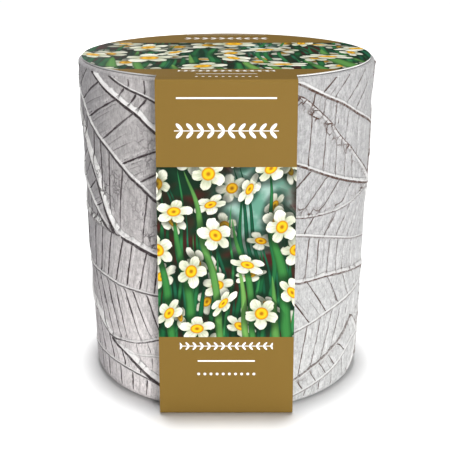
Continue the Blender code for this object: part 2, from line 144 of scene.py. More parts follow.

# Leaves of one half of the wall, the lowest first; the other half repeats them. A line lists the degrees
# round the pot from the front and the height of each point. The rib runs from base to tip, and the margins
# between its ends. Strong veins leave the rib at the degrees given, above and below it, with that lean.
# The bead is the raised edge's strength, one number or by degrees, and the crest the rib's, which tapers
# to the share given. The stains and shades are the strengths of the brown wash and painted shade under the
# margin and under the rib; above 1 the dark line also lies further out, as painted shade beside the ridge.
# The net is the strength of the crackle along the margin, and its reach how far it goes in. The power scales
# a leaf's veins, and faint counts faint ones between two strong ones.
LEAVES = [dict(
    rib=[94, -10, 92, 40, 90, 90, 88, 170],
    upper=[125, 30, 125, 100],
    lower=[62, 30, 60, 110],
), dict(
    rib=[0, -10, 2, 40, -2, 100, 0, 170],
    upper=[36, 40, 36, 110],
    lower=[-36, 40, -36, 110],
), dict(
    rib=[-103, 8, -82, 12, -66, 13.5, -47, 13, -38, 12, -29, 10, -14, 6, 2, 2],
    upper=[-95, 28, -70, 40, -35, 30],
    lower=[-90, -4, -50, -9, -20, -6],
    above=(-78, -70, -62, -54, -46, -37), below=(-76, -68, -60, -50, -42, -34), lean=(115, 88), bead=0.8,
    stains_and_shades=(0.5, 0.6), crest=0.8,
), dict(
    rib=[0, 160, 12, 157, 25, 153, 32, 149, 39, 145, 47, 141, 59, 134, 75, 127, 90, 121, 104, 116],
    upper=[30, 178, 70, 172, 95, 145],
    lower=[15, 138, 40, 112, 80, 98],
    above=(36, 42, 49, 56, 66, 75), below=(33, 38, 44, 52, 60, 67, 75), lean=(66, 70), bead=0.8,
    stains_and_shades=(0.5, 0.95), taper=0.8,
), dict(
    rib=[92, 50, 82, 47.5, 72, 46, 62, 45, 54, 44, 44, 42, 35, 39, 28, 37, 12, 33, -5, 30],
    upper=[70, 68, 30, 70, 5, 52],
    lower=[80, 34, 62, 22, 40, 10, 20, 6, 0, 12],
    above=(35, 44, 52, 60, 68, 76), below=(34, 41, 48, 55, 62, 69, 76), lean=(70, 66), bead=0.8,
    stains_and_shades=(0.5, 0.45), taper=0.5,
), dict(
    rib=[10, 30, -10, 26, -28, 24, -33, 23, -41, 22, -55, 26],
    upper=[0, 42, -20, 44, -40, 34],
    lower=[0, 8, -15, 6.5, -29, 12, -36, 16, -42, 20, -48, 23],
    above=(-31, -38), below=(-31, -37), power=0.35, lean=(80, 75), bead=1.5, net=0.4, stains_and_shades=(1.7, 0.3),
    crest=0.5,
), dict(
    rib=[-97, 52, -90, 54, -76, 55.5, -58, 56, -47, 55, -38, 55, -28, 55, -10, 56, 8, 58],
    upper=[-98, 72, -86, 98, -60, 96, -30, 88, -5, 74],
    lower=[-90, 41, -82, 36.5, -69, 33, -61, 28.5, -55, 26, -46, 27, -37, 29, -28, 33, -12, 41],
    above=(-78, -69, -62, -56, -50, -43, -36, -29), below=(-77, -70, -64, -57, -51, -45, -40, -33),
    lean=(80, 69), bead=[(-80, 3.0), (-62, 2.5), (-55, 1.5), (-50, 0.5)], net=0.3, stains_and_shades=(0.95, 0.6),
    crest=0.9,
), dict(
    rib=[77, 18, 69, 18.5, 62, 16.5, 54, 12, 46, 9, 36, 6, 29, 4, 15, 1, 0, -3],
    upper=[73, 23, 69, 27.5, 65, 31.5, 62, 30, 55, 24.5, 49, 21.5, 42, 18, 35, 15, 29, 12, 15, 7],
    lower=[70, 6, 50, -5, 20, -9],
    above=(33, 40, 46, 52, 60, 68), below=(34, 42, 50, 58, 66), lean=(71, 72),
    bead=[(20, 0.35), (60, 0.5), (72, 0.9)], net=0.35, stains_and_shades=(0.75, 0.4), crest=0.9,
), dict(
    rib=[-98, 110, -90, 106, -82, 101, -69, 94.5, -61, 88.5, -54, 83.5, -46, 80],
    upper=[-90, 132, -70, 130, -50, 100],
    lower=[-94, 92, -82, 83, -66, 81.5, -54, 80.5],
    above=(-86, -78, -70, -62), below=(-84, -76, -69, -62, -56), lean=(62, 66), bead=1.6, stains_and_shades=(0.7, 1.6),
    crest=2.2,
), dict(
    rib=[2, 88, 14, 86, 27, 84, 35, 82, 48, 78, 60, 74, 75, 70, 86, 66, 95, 62],
    upper=[30, 106, 70, 100, 90, 82],
    lower=[12, 69, 27, 61.5, 33, 61, 42, 61, 54, 59, 68, 56, 82, 52, 90, 53],
    above=(30, 40, 47, 55, 64, 73), below=(33, 38, 44, 49, 54, 60, 66, 74), lean=(65, 80),
    bead=[(26, 0.9), (60, 1.0), (80, 1.5)], net=0.4, stains_and_shades=(1, 0.4), crest=0.7,
), dict(
    rib=[-99, 156, -88, 148, -79, 142.5, -70, 137, -64, 131, -57, 125.5, -49, 120, -43, 115, -38, 110.5,
        -32, 106, -26, 101, -10, 92, 6, 86],
    upper=[-80, 172, -50, 170, -15, 140],
    lower=[-91, 136, -82, 128, -72, 121, -65.5, 112, -60, 104, -56.5, 97, -52, 88, -46.5, 81.5, -38, 79,
        -27, 75.5, -12, 74],
    above=(-85, -78, -71.5, -64.5, -53.7, -42.3, -33.8),
    below=(-74, -67, -60.6, -55.3, -49.6, -41.8, -30.1), lean=(63, 62),
    bead=[(-78, 3.4), (-58, 3.1), (-50, 2.2), (-45, 1.4), (-28, 1.2)], net=0.6, net_reach=9.0,
    stains_and_shades=(1.6, 1.55), crest=1.2,
), dict(
    rib=[86, 94.5, 75, 97, 54, 104, 42, 109, 34, 113, 26, 117, 12, 122, -8, 124],
    upper=[75, 102, 62, 111.5, 53, 120, 46, 126.5, 41, 133, 35, 139, 30, 144, 25, 147, 12, 150, -2, 142],
    lower=[74, 95.5, 65, 94.5, 56, 93, 47, 92, 40, 92, 33, 92, 26, 93, 10, 97, -4, 110],
    above=(31, 38, 45, 51, 57, 64, 72), below=(33, 41, 48, 57, 64, 72), lean=(71, 70),
    bead=[(26, 0.35), (64, 0.45), (82, 1.3)], stains_and_shades=(1, 0.9), crest=1.3,
), dict(
    rib=[12, 132, -10, 138, -26, 145, -31, 147, -37, 149, -44, 152, -50, 156, -58, 162, -72, 168],
    upper=[0, 160, -30, 174, -62, 180],
    lower=[-10, 122, -26.4, 133, -33, 138.8, -42, 144, -49.6, 148.3, -56, 153, -63, 158.5],
    above=(-29.7, -37, -44), below=(-28.5, -33, -38.6), faint=0, lean=(70, 66), net=0, stains_and_shades=(1.45, 0.9),
    crest=0.9,
)]


# Shader building


def operator(operation, backwards=False):
    """A method of a term that makes a math node."""

    def method(term, *others):
        values = (term, *others)
        return term.graph.math(operation, *(values[::-1] if backwards else values))

    return method


class Term:
    """A value in a material, which ordinary arithmetic turns into math nodes."""

    def __init__(self, graph, socket):
        self.graph = graph
        self.socket = socket

    __abs__ = operator("ABSOLUTE")
    __add__ = __radd__ = operator("ADD")
    __sub__ = operator("SUBTRACT")
    __rsub__ = operator("SUBTRACT", backwards=True)
    __mul__ = __rmul__ = operator("MULTIPLY")
    __truediv__ = operator("DIVIDE")
    __lt__ = operator("LESS_THAN")
    __gt__ = operator("GREATER_THAN")


class Graph:
    """A new material and short ways to build its nodes."""

    def __init__(self, name):
        self.material = bpy.data.materials.new(name)
        self.material.use_nodes = True
        self.tree = self.material.node_tree
        self.shader = self.tree.nodes["Principled BSDF"]

    def feed(self, socket, value):
        if isinstance(value, Term):
            self.tree.links.new(value.socket, socket)
        elif socket.type == "RGBA":
            socket.default_value = (*value, 1.0)
        else:
            socket.default_value = value

    def node(self, kind, inputs=None, **settings):
        made = self.tree.nodes.new("ShaderNode" + kind)
        for key, value in settings.items():
            setattr(made, key, value)
        for key, value in (inputs or {}).items():
            self.feed(made.inputs[key], value)
        return made

    def out(self, node, key=0):
        return Term(self, node.outputs[key])

    def math(self, operation, *values):
        made = self.node("Math", operation=operation)
        for socket, value in zip(made.inputs, values):
            self.feed(socket, value)
        return self.out(made)

    def most(self, first, *others):
        for other in others:
            first = self.math("MAXIMUM", first, other)
        return first

    def least(self, first, second):
        return self.math("MINIMUM", first, second)

    def step(self, value, low, high):
        """A soft step from 0 at low to 1 at high, either of which may be the larger."""
        inputs = {"Value": value, "From Min": low, "From Max": high}
        return self.out(self.node("MapRange", inputs, interpolation_type="SMOOTHSTEP"))

    def mix(self, share, first, second, blend="MIX"):
        """A colour between two, both given as terms or as three linear values."""
        inputs = {0: share, 6: first, 7: second}
        return self.out(self.node("Mix", inputs, data_type="RGBA", blend_type=blend), 2)

    def parts(self, vector):
        made = self.node("SeparateXYZ", {"Vector": vector})
        return [self.out(made, key) for key in range(3)]

    def join(self, x, y, z=0.0):
        return self.out(self.node("CombineXYZ", {"X": x, "Y": y, "Z": z}))

    def noise(self, vector, scale, detail=2.0, roughness=0.5):
        inputs = {"Vector": vector, "Scale": scale, "Detail": detail, "Roughness": roughness}
        return self.out(self.node("TexNoise", inputs))

    def vector(self, name):
        """The three parts of one of the mesh's vector attributes."""
        return self.parts(self.out(self.node("Attribute", attribute_name=name), "Vector"))

    def place(self):
        """Position on the object, in millimetres."""
        metres = self.out(self.node("TexCoord"), "Object")
        return self.out(self.node("VectorMath", {0: metres, 3: 1 / MM}, operation="SCALE"))

    def bump(self, height, distance):
        """Feeds the shader's normal; height 1 stands distance millimetres proud."""
        made = self.node("Bump", {"Height": height, "Distance": distance * MM, "Strength": 1.0})
        self.feed(self.shader.inputs["Normal"], self.out(made))

    def surface(self, colour, roughness, shine=0.5):
        inputs = {"Base Color": colour, "Roughness": roughness, "Specular IOR Level": shine}
        for key, value in inputs.items():
            self.feed(self.shader.inputs[key], value)


# Mesh building


def circle(radius, height, angles):
    """A level ring of points; angle 0 faces -Y."""
    return np.stack([radius * np.sin(angles), -radius * np.cos(angles), height + 0 * angles], axis=1)


def turned(name, rings):
    """A closed round body from rings of points, given in millimetres from the centre of its underside,
    out, up and back in; the centres of the first and last ring close it."""
    count, around = len(rings), len(rings[0])
    points = np.concatenate([rings[0].mean(axis=0)[None], *rings, rings[-1].mean(axis=0)[None]])
    index = 1 + np.arange(count * around).reshape(count, around)
    onward = np.roll(index, -1, axis=1)
    quads = np.stack([index[:-1], onward[:-1], onward[1:], index[1:]], axis=-1).reshape(-1, 4)
    first = [(0, b, a) for a, b in zip(index[0].tolist(), onward[0].tolist())]
    last = [(len(points) - 1, a, b) for a, b in zip(index[-1].tolist(), onward[-1].tolist())]
    return new_object(name, points, quads.tolist() + first + last)


def new_object(name, points, faces):
    mesh = bpy.data.meshes.new(name)
    mesh.from_pydata((np.asarray(points) * MM).tolist(), [], faces)
    mesh.shade_smooth()
    return linked(name, mesh)


def linked(name, data):
    """A new object in the scene."""
    made = bpy.data.objects.new(name, data)
    bpy.context.scene.collection.objects.link(made)
    return made


def modify(piece, kind, **settings):
    """Changes a piece's mesh by one modifier."""
    modifier = piece.modifiers.new(kind.lower(), kind)
    for key, value in settings.items():
        setattr(modifier, key, value)
    seen = piece.evaluated_get(bpy.context.evaluated_depsgraph_get())
    old, changed = piece.data, bpy.data.meshes.new_from_object(seen)
    piece.modifiers.clear()
    piece.data = changed
    bpy.data.meshes.remove(old)


def stands_for(piece, node):
    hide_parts(node)
    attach(piece, BODY)


# Leaf relief


def smooth_line(points, per_span=8):
    """A smooth curve through one of the leaves' lines, on the unrolled wall in millimetres."""
    p = np.reshape(points, (-1, 2)) * (ARC, 1.0)
    p = np.vstack([2 * p[0] - p[1], p, 2 * p[-1] - p[-2]])
    t = np.arange(per_span)[:, None] / per_span
    spans = [
        0.5 * (2 * b + (c - a) * t + (2 * a - 5 * b + 4 * c - d) * t**2 + (3 * b - a - 3 * c + d) * t**3)
        for a, b, c, d in zip(p, p[1:], p[2:], p[3:])
    ]
    return np.vstack([*spans, p[-2:-1]])


def inside(s, z, ring):
    """Which points lie inside a closed outline."""
    hit = np.zeros(s.shape, bool)
    for (s0, z0), (s1, z1) in zip(ring, np.roll(ring, -1, axis=0)):
        if z0 != z1:
            rows = slice(*np.searchsorted(z[:, 0], sorted((z0, z1)), side="right"))
            hit[rows] ^= s[rows] < s0 + (z[rows] - z0) * (s1 - s0) / (z1 - z0)
    return hit


def bump(distance, width):
    return np.exp(-((distance / width) ** 2))


def bead_strength(leaf, degrees, uneven, rough):
    """The raised edge's strength over a patch of the wall, a little rough and uneven."""
    strengths = leaf.get("bead", 1.0)
    if isinstance(strengths, list):
        strengths = np.interp(degrees, *zip(*strengths))
    return strengths * (0.8 + 0.4 * uneven) + 0.6 * rough * np.minimum(strengths, 1.0)


def bead_reach(strength):
    """Half the width of a raised edge or rib, from its strength."""
    return 0.45 + 0.65 * strength


def cloud(shape, cells, rng):
    """Smooth random values from 0 to 1 on a grid whose columns repeat."""
    coarse = rng.uniform(0, 1, cells)
    rows = np.linspace(0, cells[0] - 1.001, shape[0])
    columns = np.arange(shape[1]) * cells[1] / shape[1]
    return sampled(coarse, eased(rows)[:, None], eased(columns)[None, :])


def eased(values):
    """Moves values towards their nearest whole numbers, which smooths what is read between cells."""
    whole = np.floor(values)
    part = values - whole
    return whole + part * part * (3 - 2 * part)


def sampled(grid, row, column):
    """Values of a grid between its cells; its columns repeat."""
    row = np.clip(row, 0, grid.shape[0] - 1.001)
    r, c = np.floor(row).astype(int), np.floor(column).astype(int)
    u, v = row - r, column - c
    c, d = c % grid.shape[1], (c + 1) % grid.shape[1]
    low = grid[r, c] * (1 - v) + grid[r, d] * v
    high = grid[r + 1, c] * (1 - v) + grid[r + 1, d] * v
    return low * (1 - u) + high * u


def lay(grids, part, where, layers):
    """Puts a layer into part of each grid, where a mask says so."""
    for grid, layer in zip(grids, layers):
        grid[part] = np.where(where, layer, grid[part])


class Patch:
    """Part of the unrolled wall as a grid of points."""

    def __init__(self, axis_s, axis_z):
        self.axis_s, self.axis_z = axis_s, axis_z
        self.s, self.z = np.meshgrid(axis_s, axis_z)

    def window(self, line, reach):
        """The rows and columns within reach of a line's box."""
        (left, low), (right, high) = line.min(axis=0) - reach, line.max(axis=0) + reach
        pairs = (self.axis_z, (low, high)), (self.axis_s, (left, right))
        return tuple(slice(*np.searchsorted(axis, ends)) for axis, ends in pairs)

    def cell(self, point):
        """The row and column of the cell at a point."""
        pairs = (self.axis_z, point[1]), (self.axis_s, point[0])
        return tuple(min(len(axis) - 1, int(np.searchsorted(axis, at))) for axis, at in pairs)

    def near(self, line, reach=REACH):
        """For each cell, up to reach: distance to a line, length along it, and distance signed by side,
        positive on the line's left."""
        gap = np.full(self.s.shape, reach)
        along = np.zeros(self.s.shape)
        signed = np.full(self.s.shape, reach)
        run = 0.0
        for a, b in zip(line, line[1:]):
            ds, dz = b - a
            length = math.hypot(ds, dz)
            if length == 0:
                continue
            part = self.window(np.stack([a, b]), reach)
            s, z = self.s[part] - a[0], self.z[part] - a[1]
            share = np.clip((s * ds + z * dz) / length**2, 0, 1)
            found = np.hypot(s - share * ds, z - share * dz)
            left = np.where(ds * z - dz * s < 0, -found, found)
            lay((along, signed, gap), part, found < gap[part], (run + share * length, left, found))
            run += length
        return gap, along, signed


def onward(point, heading, length):
    return point + length * np.array([math.cos(heading), math.sin(heading)])


def walk(patch, depth, start, heading, side, longest, rng):
    """A vein's points from its start until it nears the leaf's margin, where it hooks towards the tip."""
    points, hooked = [start], 0.0
    for number in range(int(longest / VEIN_STRIDE)):
        room = depth[patch.cell(points[-1])]
        if room < VEIN_MARGIN or hooked > VEIN_HOOK:
            break
        turn = rng.normal(0.25, 0.45)
        if room < VEIN_ROOM and number > 2:
            turn += HOOK_TURN
            hooked += HOOK_TURN
        heading -= side * math.radians(turn)
        points.append(onward(points[-1], heading, VEIN_STRIDE))
    return np.array(points), heading


def vein_starts(leaf, key, rib, run, rng):
    """(length along the rib, whether strong) of one side's veins."""
    if key in leaf:
        order = np.argsort(rib[:, 0])
        strong = np.sort(np.interp(np.array(leaf[key]) * ARC, rib[order, 0], run[order]))
    else:
        strong = np.arange(5.0, run[-1] - 5, VEIN_SPACING)
    for at in strong:
        yield at, True
    for at, after in zip(strong, strong[1:]):
        count = leaf.get("faint", int(np.clip((after - at) / 4 - 0.6, 0, 3)))
        for share in (np.arange(count) + 1) / (count + 1):
            yield at + (after - at) * (share + rng.uniform(-0.04, 0.04)), False


def veins_of(leaf, patch, rib, depth, rng):
    """(points, power, whether faint) of a leaf's side veins, the strong ones forked at the end."""
    run = np.concatenate([[0], np.cumsum(np.hypot(*np.diff(rib, axis=0).T))])
    rightward = 1 if rib[-1, 0] > rib[0, 0] else -1
    leans = leaf.get("lean", (VEIN_LEAN, VEIN_LEAN))
    for key, side, lean in (("above", rightward, leans[0]), ("below", -rightward, leans[1])):
        for at, strong in vein_starts(leaf, key, rib, run, rng):
            foot, ahead = (
                np.array([np.interp(at + step, run, rib[:, k]) for k in (0, 1)]) for step in (0, 1)
            )
            heading = math.atan2(*(ahead - foot)[::-1])
            heading += side * math.radians(lean + rng.uniform(-1.0, 1.0))
            longest = VEIN_LONGEST if strong else rng.uniform(*FAINT_LENGTHS)
            power = rng.uniform(*(VEIN_POWERS if strong else FAINT_POWERS)) * leaf.get("power", 1.0)
            start = onward(foot, heading, VEIN_START)
            points, end = walk(patch, depth, start, heading, side, longest, rng)
            if len(points) < 3:
                continue
            yield points, power, not strong
            if strong:
                turned_end = end + side * TWIG_TURN
                twig, _ = walk(patch, depth + TWIG_ROOM, points[-2], turned_end, side, TWIG_LENGTH, rng)
                if len(twig) > 1:
                    yield twig, power * TWIG_POWER, False


def before_others(points, gap, patch):
    """The part of a faint vein that keeps clear of the veins drawn before it."""
    for number, point in enumerate(points):
        if gap[patch.cell(point)] < VEIN_APART:
            return points[:number]
    return points


class Wall:
    """The pot's outer wall over half its round, as grids: the relief's height; how far it faces up, which
    the material turns into painted light; the strengths of the brown wash with painted shade under margins
    and under ribs, and of the crackle; and for the nearest vein, margin and rib its signed distance, plain
    distance and strength."""

    def __init__(self):
        self.columns = round(GRID_SPAN / RELIEF_STEP)
        self.step_s = GRID_SPAN / self.columns
        self.rows = round(POT_HEIGHT / RELIEF_STEP) + 1
        self.step_z = POT_HEIGHT / (self.rows - 1)
        shape = (self.rows, self.columns)
        self.height, self.wash_and_shade = np.zeros(shape), np.zeros((3, *shape))
        none = np.reshape(AWAY, (3, 1, 1))
        self.vein, self.edge, self.rib = (np.full((3, *shape), none) for _ in range(3))
        rng = np.random.default_rng(11)
        self.uneven = cloud(shape, (26, 36), rng)
        self.patchy = cloud(shape, (10, 14), rng)
        self.rough = cloud(shape, (90, 120), np.random.default_rng(12))
        for number, leaf in enumerate(LEAVES):
            self.stamp(leaf, np.random.default_rng(number))
        self.height += 0.10 * (cloud(shape, (60, 80), rng) - 0.5) + 0.16 * (self.uneven - 0.5)
        # How far the relief faces up; the material paints light from above with it.
        self.facing = [-np.gradient(self.height, self.step_z, axis=0)]

    def patch(self, outline):
        """The part of the wall round a leaf, and its cells, which may run across the grid's ends."""
        (left, low), (right, high) = outline.min(axis=0) - REACH, outline.max(axis=0) + REACH
        first, last = (math.floor((s - GRID_START) / self.step_s) for s in (left, right))
        bottom, top = (math.floor(z / self.step_z) for z in (low, high))
        columns = np.arange(first, last + 1)
        rows = np.arange(max(bottom, 0), min(top + 1, self.rows))
        patch = Patch(columns * self.step_s + GRID_START, rows * self.step_z)
        return patch, np.ix_(rows, columns % self.columns)

    def stamp(self, leaf, rng):
        """Lays one leaf over what is there, with a raised edge, a rib and side veins."""
        base, tip = leaf["rib"][:2], leaf["rib"][-2:]
        rib = smooth_line(leaf["rib"])
        upper, lower = (smooth_line(base + leaf[key] + tip) for key in ("upper", "lower"))
        outline = np.vstack([upper, lower[-2:0:-1]])
        patch, cells = self.patch(outline)
        margin_gap = patch.near(np.vstack([outline, outline[:1]]))[0]
        depth = np.where(inside(patch.s, patch.z, outline), margin_gap, -margin_gap)
        outside = -depth - LEAF_END
        rib_gap, rib_run, rib_side = patch.near(rib)
        rib_side = rib_side if rib[-1, 0] > rib[0, 0] else -rib_side
        taper = np.clip(1.15 - rib_run / max(rib_run.max(), 1), leaf.get("taper", 0.25), 1)
        vein, groove, spread = self.draw_veins(leaf, patch, rib, depth, rng)
        rough = self.rough[cells] - 0.5
        bead = bead_strength(leaf, patch.s / ARC, self.uneven[cells], rough)
        crest = leaf.get("crest", 1.0) * taper * (1.0 + 0.4 * rough)
        leaf_height = (
            BLADE
            + EDGE_RISE * np.minimum(bead, BEAD_MOST) * bump(outside + 0.85 * bead, bead_reach(bead))
            + RIB_RISE * crest * bump(rib_gap, RIB_WIDTH)
            + PILLOW_RISE * (1 - bump(spread, PILLOW_WIDTH))
            - VEIN_DEPTH * groove
        )
        patchy = np.clip(2.4 * self.patchy[cells] - 0.4, 0, 1)
        net = leaf.get("net", 1.0) * patchy * bump(margin_gap - 1.8, leaf.get("net_reach", 2.4))
        self.cover(cells, outside, leaf_height, net)
        self.mark(leaf, cells, outside, bead, vein, (rib_side, rib_gap, crest))

    def cover(self, cells, outside, height, net):
        """Puts a leaf's height and crackle over what is there, which it undercuts round its margin."""
        share = np.clip(0.5 - outside / self.step_s, 0, 1)
        below = self.height[cells] - UNDERCUT_DEPTH * bump(outside, UNDERCUT_WIDTH)
        self.height[cells] = share * height + (1 - share) * below
        self.wash_and_shade[2][cells] = share * net + (1 - share) * self.wash_and_shade[2][cells]

    def mark(self, leaf, cells, outside, bead, vein, rib):
        """Keeps where a leaf's lines run and how strong they and their stains and painted shades are."""
        on_leaf = outside < 0
        lay(self.vein, cells, on_leaf, vein)
        lay(self.rib, cells, on_leaf, rib)
        nearer = on_leaf | (np.abs(outside) < self.edge[1][cells])
        lay(self.edge, cells, nearer, (outside, np.abs(outside), bead))
        margin_stain_and_shade, rib_stain_and_shade = leaf.get("stains_and_shades", (0.7, 0.5))
        lay(self.wash_and_shade[:1], cells, nearer, (margin_stain_and_shade,))
        lay(self.wash_and_shade[1:2], cells, on_leaf, (rib_stain_and_shade,))

    def draw_veins(self, leaf, patch, rib, depth, rng):
        """The veins' signed distance, positive to their right, distance and strength; their groove; and
        the distance that counts for the swelling between them."""
        shape = patch.s.shape
        side, gap, power = np.full(shape, REACH), np.full(shape, REACH), np.zeros(shape)
        groove, spread = np.zeros(shape), np.full(shape, REACH)
        for points, strength, faint in veins_of(leaf, patch, rib, depth, rng):
            if faint:
                points = before_others(points, gap, patch)
            if len(points) < 2:
                continue
            part = patch.window(points, VEIN_REACH)
            window = Patch(patch.axis_s[part[1]], patch.axis_z[part[0]])
            if not window.s.size:
                continue
            found, along, signed = window.near(points, VEIN_REACH)
            if points[-1][1] > points[0][1]:
                signed = -signed
            fade_out = strength * np.clip(1.3 - along / max(along.max(), 1), 0, 1)
            lay((side, power, gap), part, found < gap[part], (signed, fade_out, found))
            groove[part] = np.maximum(groove[part], fade_out * bump(found, VEIN_WIDTH))
            spread[part] = np.minimum(spread[part], found + 1.8 * (1 - strength))
        return (side, gap, power), groove, spread

    def value(self, grid, points, plain):
        """A grid's values at points of the pot, in millimetres, and a plain one away from the outer wall."""
        s = np.degrees(np.arctan2(points[:, 0], -points[:, 1])) * ARC
        height = points[:, 2] - POT_LOW.z
        found = sampled(grid, height / self.step_z, (s - GRID_START) / self.step_s)
        on_wall = np.hypot(points[:, 0], points[:, 1]) > wall_radius(height) - 1.2
        return np.where(on_wall & (fade(height) > 0.3), found, plain)


def wall_radius(height):
    """Radius of the outer wall under its relief, at a height above the foot."""
    return FOOT_RADIUS + (TOP_RADIUS - FOOT_RADIUS) * height / POT_HEIGHT


def fade(height):
    """The relief dies away into the rounded foot and into the plain lip."""
    return np.clip(height / 4.0, 0, 1) * np.clip((POT_HEIGHT - RELIEF_TOP - height) / 1.2, 0, 1)


def outer_radius(height, relief):
    """Radius of the wall with its relief, and of the rolled lip above it."""
    lip_share = np.clip((height - POT_HEIGHT + LIP_HEIGHT) / LIP_ROLL / 2, 0, 1)
    return wall_radius(height) + np.maximum(fade(height) * relief, LIP_ROLL * lip_share)


# Pot


def rounded(centre, radius, start, stop, steps):
    """(radius, height) points of a round in a profile, from one angle to another, 0 outwards and 90 up."""
    turns = np.radians(np.linspace(start, stop, steps))
    return [(centre[0] + radius * math.cos(t), centre[1] + radius * math.sin(t)) for t in turns]


def pot_rings(wall):
    """The rings of the whole pot, from the middle of its underside, out, up and down inside."""
    angles = np.linspace(-180, 180, 2 * wall.columns, endpoint=False)
    relief = RELIEF_MOST * np.tanh(wall.height / RELIEF_MOST)
    relief = np.roll(np.tile(relief, 2), round(GRID_START / wall.step_s), axis=1)
    from_strap = np.abs((angles + 90) % 180 - 90)
    kept = (from_strap > HIDDEN) | (np.arange(len(angles)) % 4 == 0)
    relief, angles = relief[:, kept], np.radians(angles[kept])
    recess = FOOT_RADIUS - FOOT_RING_WIDTH
    under = [(recess * 0.5, FOOT_RECESS), (recess - FOOT_RECESS, FOOT_RECESS), (recess, 0.0)]
    under += rounded((FOOT_RADIUS - FOOT_ROUND, FOOT_ROUND), FOOT_ROUND, -90, -15, 7)
    rim = TOP_RADIUS + LIP_ROLL - RIM_ROUND
    over = rounded((rim, POT_HEIGHT - RIM_ROUND), RIM_ROUND, 20, 90, 7)
    lip, bore = TOP_RADIUS - WALL, FOOT_RADIUS - WALL
    over += [(lip + LIP_CHAMFER, POT_HEIGHT), (lip, POT_HEIGHT - LIP_CHAMFER)]
    corner = bore - FLOOR_CHAMFER
    over += [(bore, FLOOR + FLOOR_CHAMFER), (corner, FLOOR), (corner * 0.5, FLOOR)]
    leafy = [
        (outer_radius(height, relief[row]), height)
        for row, height in enumerate(np.linspace(0, POT_HEIGHT, wall.rows))
        if FOOT_ROUND <= height <= POT_HEIGHT - RIM_ROUND
    ]
    return [circle(radius, POT_LOW.z + height, angles) for radius, height in under + leafy + over]


def make_pot():
    wall = Wall()
    pot = turned("cast_pot", pot_rings(wall))
    triangles = sum(len(face.vertices) - 2 for face in pot.data.polygons)
    modify(pot, "DECIMATE", ratio=POT_TRIANGLES / triangles)
    points = np.array([vertex.co for vertex in pot.data.vertices]) / MM
    for name in ("vein", "edge", "rib", "wash_and_shade", "facing"):
        values = np.zeros((len(points), 3), np.float32)
        plain = (0.0, 0.0, 0.0) if name in ("wash_and_shade", "facing") else AWAY
        for part, grid in enumerate(getattr(wall, name)):
            values[:, part] = wall.value(grid, points, plain[part])
        layer = pot.data.attributes.new(name, "FLOAT_VECTOR", "POINT")
        layer.data.foreach_set("vector", values.ravel())
    pot.data.materials.append(limewash_with_painted_light())
    stands_for(pot, "planter")


def limewash_with_painted_light():
    """White limewash over a cast pot, brown left in the grooves, with light and shade painted into its
    colour:
    paler where it faces up, pale ridges that are partly wiped wash and partly painted highlight, and painted
    shade beside them.
    """
    g = Graph("limewash_painted_light_cast")
    place = g.place()
    x, y, z = g.parts(place)
    across = g.step(x, *LEFT_TO_RIGHT)
    grain = g.noise(place, 1.1, 4.0, 0.7)
    mottled = g.noise(place, 0.33, 3.0, 0.6)
    streaks = g.noise(g.join(x, y, 0.25 * z), 1.25, 3.0, 0.6)
    uneven = g.step(g.noise(place, 0.17, 2.0), 0.32, 0.62)
    # Painted light and shade from above: what faces up is made paler, what faces down darker.
    painted_toplight = g.most(g.least(g.vector("facing")[0], 0.9), -0.9)
    stain_and_shade, painted_vein_highlight, raised = wash_shade_and_highlight_lines(g, place, across, uneven)
    tone = 0.71 + 0.16 * g.step(mottled, 0.3, 0.7) + 0.90 * (grain - 0.5)
    # Painted highlight on the right of each vein, stronger on the left side of the pot.
    tone = tone + painted_vein_highlight * (0.30 - 0.20 * across)
    # Streaks in the wash, and the painted light from above.
    tone = tone + 0.26 * g.step(streaks, 0.36, 0.64) + 0.30 * painted_toplight
    chalk_and_painted_light = g.mix(1.0, wash_white_and_painted_light(g, x, z, across), g.join(tone, tone, tone), "MULTIPLY")
    # Pale ridges: partly wiped-clean wash, partly painted highlight, whiter on the left where less light
    # falls.
    white = g.mix(across, (0.93, 0.915, 0.90), (0.60, 0.595, 0.585))
    chalk_and_painted_light = g.mix(raised * (0.75 + 0.25 * uneven), chalk_and_painted_light, white)
    # The grooves' brown, also the colour of the painted shade beside ridges; nearer black on the left,
    # partly as painted shade.
    brown = g.mix(across, (0.028, 0.016, 0.019), (0.062, 0.024, 0.014))
    colour = g.mix(g.least(stain_and_shade, 0.97), chalk_and_painted_light, brown)
    g.surface(colour, 0.66 + 0.2 * grain, 0.3)
    g.bump(0.35 * grain + 0.25 * mottled + 0.2 * streaks + raised - 0.9 * stain_and_shade, 0.5)
    return g.material


def wash_white_and_painted_light(g, x, z, across):
    """The wash's white with light and shade painted into it: paler at the foot as painted light, and on the
    left darker and cooler away from the strap as painted shade, warmer and paler towards it.
    """
    inward = g.step(x, *SIDE_TO_STRAP)
    foot = g.mix(inward, (0.610, 0.578, 0.590), (0.745, 0.700, 0.694))
    foot = g.mix(across, foot, (0.455, 0.455, 0.449))
    head = g.mix(inward, (0.355, 0.341, 0.351), (0.430, 0.408, 0.406))
    head = g.mix(across, head, (0.342, 0.339, 0.339))
    return g.mix(g.step(z, *TOP_TO_FOOT), head, foot)


